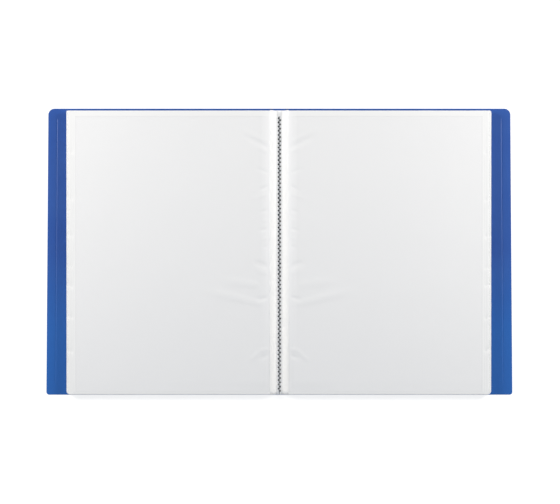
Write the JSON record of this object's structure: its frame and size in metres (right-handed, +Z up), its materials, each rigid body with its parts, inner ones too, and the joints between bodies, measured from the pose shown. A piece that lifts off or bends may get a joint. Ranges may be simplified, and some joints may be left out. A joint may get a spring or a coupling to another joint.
{
  "type": "display book",
  "caption": "Welded display book, open at its middle: creased cover with spine, film pockets open at the head and two loose sheets that slide out.",
  "frame": {"origin": "under the middle of the spine, on the surface that the open book lies on", "axes": "+X to the right across the open book, +Y to the head edge, +Z up from the surface"},
  "size_m": [0.502, 0.31, 0.0084],
  "materials": {
    "cover": "satin extruded polypropylene",
    "film": "embossed clear polypropylene film",
    "weld": "ultrasonically welded film",
    "sheet": "smooth white paper"
  },
  "bodies": {
    "spine": {"spine_panel": "cover", "weld_seam": "weld", "front_margins": "film", "back_margins": "film"},
    "front_cover": {"front_cover": "cover"},
    "back_cover": {"back_cover": "cover"},
    "pocket_10": {"pocket_10": "film"},
    "pocket_09": {"pocket_09": "film"},
    "pocket_08": {"pocket_08": "film"},
    "pocket_07": {"pocket_07": "film"},
    "pocket_06": {"pocket_06": "film"},
    "pocket_05": {"pocket_05": "film"},
    "pocket_04": {"pocket_04": "film"},
    "pocket_03": {"pocket_03": "film"},
    "pocket_02": {"pocket_02": "film"},
    "pocket_01": {"pocket_01": "film"},
    "pocket_11": {"pocket_11": "film"},
    "pocket_12": {"pocket_12": "film"},
    "pocket_13": {"pocket_13": "film"},
    "pocket_14": {"pocket_14": "film"},
    "pocket_15": {"pocket_15": "film"},
    "pocket_16": {"pocket_16": "film"},
    "pocket_17": {"pocket_17": "film"},
    "pocket_18": {"pocket_18": "film"},
    "pocket_19": {"pocket_19": "film"},
    "pocket_20": {"pocket_20": "film"},
    "front_insert_sheet": {"front_insert_sheet": "sheet"},
    "back_insert_sheet": {"back_insert_sheet": "sheet"}
  },
  "joints": [
    {"name": "front_cover_fold", "type": "hinge", "parent": "spine", "child": "front_cover", "pos_m": [-0.0085, 0, 0.0007], "axis": [0, -1, 0], "range_deg": [-90, 0]},
    {"name": "back_cover_fold", "type": "hinge", "parent": "spine", "child": "back_cover", "pos_m": [0.0085, 0, 0.0007], "axis": [0, 1, 0], "range_deg": [-90, 0]},
    {"name": "pocket_10_turn", "type": "hinge", "parent": "front_cover", "child": "pocket_10", "pos_m": [0, 0, 0.009], "axis": [0, 1, 0], "range_deg": [0, 176]},
    {"name": "pocket_09_turn", "type": "hinge", "parent": "front_cover", "child": "pocket_09", "pos_m": [0, 0, 0.009], "axis": [0, 1, 0], "range_deg": [0, 172.93]},
    {"name": "pocket_08_turn", "type": "hinge", "parent": "front_cover", "child": "pocket_08", "pos_m": [0, 0, 0.009], "axis": [0, 1, 0], "range_deg": [0, 169.85]},
    {"name": "pocket_07_turn", "type": "hinge", "parent": "front_cover", "child": "pocket_07", "pos_m": [0, 0, 0.009], "axis": [0, 1, 0], "range_deg": [0, 166.77]},
    {"name": "pocket_06_turn", "type": "hinge", "parent": "front_cover", "child": "pocket_06", "pos_m": [0, 0, 0.009], "axis": [0, 1, 0], "range_deg": [0, 163.69]},
    {"name": "pocket_05_turn", "type": "hinge", "parent": "front_cover", "child": "pocket_05", "pos_m": [0, 0, 0.009], "axis": [0, 1, 0], "range_deg": [0, 160.61]},
    {"name": "pocket_04_turn", "type": "hinge", "parent": "front_cover", "child": "pocket_04", "pos_m": [0, 0, 0.009], "axis": [0, 1, 0], "range_deg": [0, 157.53]},
    {"name": "pocket_03_turn", "type": "hinge", "parent": "front_cover", "child": "pocket_03", "pos_m": [0, 0, 0.009], "axis": [0, 1, 0], "range_deg": [0, 154.45]},
    {"name": "pocket_02_turn", "type": "hinge", "parent": "front_cover", "child": "pocket_02", "pos_m": [0, 0, 0.009], "axis": [0, 1, 0], "range_deg": [0, 151.37]},
    {"name": "pocket_01_turn", "type": "hinge", "parent": "front_cover", "child": "pocket_01", "pos_m": [0, 0, 0.009], "axis": [0, 1, 0], "range_deg": [0, 148.29]},
    {"name": "pocket_11_turn", "type": "hinge", "parent": "back_cover", "child": "pocket_11", "pos_m": [0, 0, 0.009], "axis": [0, -1, 0], "range_deg": [0, 176]},
    {"name": "pocket_12_turn", "type": "hinge", "parent": "back_cover", "child": "pocket_12", "pos_m": [0, 0, 0.009], "axis": [0, -1, 0], "range_deg": [0, 172.93]},
    {"name": "pocket_13_turn", "type": "hinge", "parent": "back_cover", "child": "pocket_13", "pos_m": [0, 0, 0.009], "axis": [0, -1, 0], "range_deg": [0, 169.85]},
    {"name": "pocket_14_turn", "type": "hinge", "parent": "back_cover", "child": "pocket_14", "pos_m": [0, 0, 0.009], "axis": [0, -1, 0], "range_deg": [0, 166.77]},
    {"name": "pocket_15_turn", "type": "hinge", "parent": "back_cover", "child": "pocket_15", "pos_m": [0, 0, 0.009], "axis": [0, -1, 0], "range_deg": [0, 163.69]},
    {"name": "pocket_16_turn", "type": "hinge", "parent": "back_cover", "child": "pocket_16", "pos_m": [0, 0, 0.009], "axis": [0, -1, 0], "range_deg": [0, 160.61]},
    {"name": "pocket_17_turn", "type": "hinge", "parent": "back_cover", "child": "pocket_17", "pos_m": [0, 0, 0.009], "axis": [0, -1, 0], "range_deg": [0, 157.53]},
    {"name": "pocket_18_turn", "type": "hinge", "parent": "back_cover", "child": "pocket_18", "pos_m": [0, 0, 0.009], "axis": [0, -1, 0], "range_deg": [0, 154.45]},
    {"name": "pocket_19_turn", "type": "hinge", "parent": "back_cover", "child": "pocket_19", "pos_m": [0, 0, 0.009], "axis": [0, -1, 0], "range_deg": [0, 151.37]},
    {"name": "pocket_20_turn", "type": "hinge", "parent": "back_cover", "child": "pocket_20", "pos_m": [0, 0, 0.009], "axis": [0, -1, 0], "range_deg": [0, 148.29]},
    {"name": "front_sheet_slide", "type": "slide", "parent": "pocket_10", "child": "front_insert_sheet", "axis": [0, 1, 0], "range_m": [0, 0.25]},
    {"name": "back_sheet_slide", "type": "slide", "parent": "pocket_11", "child": "back_insert_sheet", "axis": [0, 1, 0], "range_m": [0, 0.25]}
  ],
  "couplings": [
    {"joint": "pocket_09_turn", "follows": "pocket_10_turn", "ratio": 0.9825},
    {"joint": "pocket_08_turn", "follows": "pocket_10_turn", "ratio": 0.965},
    {"joint": "pocket_07_turn", "follows": "pocket_10_turn", "ratio": 0.9475},
    {"joint": "pocket_06_turn", "follows": "pocket_10_turn", "ratio": 0.93},
    {"joint": "pocket_05_turn", "follows": "pocket_10_turn", "ratio": 0.9125},
    {"joint": "pocket_04_turn", "follows": "pocket_10_turn", "ratio": 0.895},
    {"joint": "pocket_03_turn", "follows": "pocket_10_turn", "ratio": 0.8775},
    {"joint": "pocket_02_turn", "follows": "pocket_10_turn", "ratio": 0.86},
    {"joint": "pocket_01_turn", "follows": "pocket_10_turn", "ratio": 0.8425},
    {"joint": "pocket_12_turn", "follows": "pocket_11_turn", "ratio": 0.9825},
    {"joint": "pocket_13_turn", "follows": "pocket_11_turn", "ratio": 0.965},
    {"joint": "pocket_14_turn", "follows": "pocket_11_turn", "ratio": 0.9475},
    {"joint": "pocket_15_turn", "follows": "pocket_11_turn", "ratio": 0.93},
    {"joint": "pocket_16_turn", "follows": "pocket_11_turn", "ratio": 0.9125},
    {"joint": "pocket_17_turn", "follows": "pocket_11_turn", "ratio": 0.895},
    {"joint": "pocket_18_turn", "follows": "pocket_11_turn", "ratio": 0.8775},
    {"joint": "pocket_19_turn", "follows": "pocket_11_turn", "ratio": 0.86},
    {"joint": "pocket_20_turn", "follows": "pocket_11_turn", "ratio": 0.8425}
  ]
}
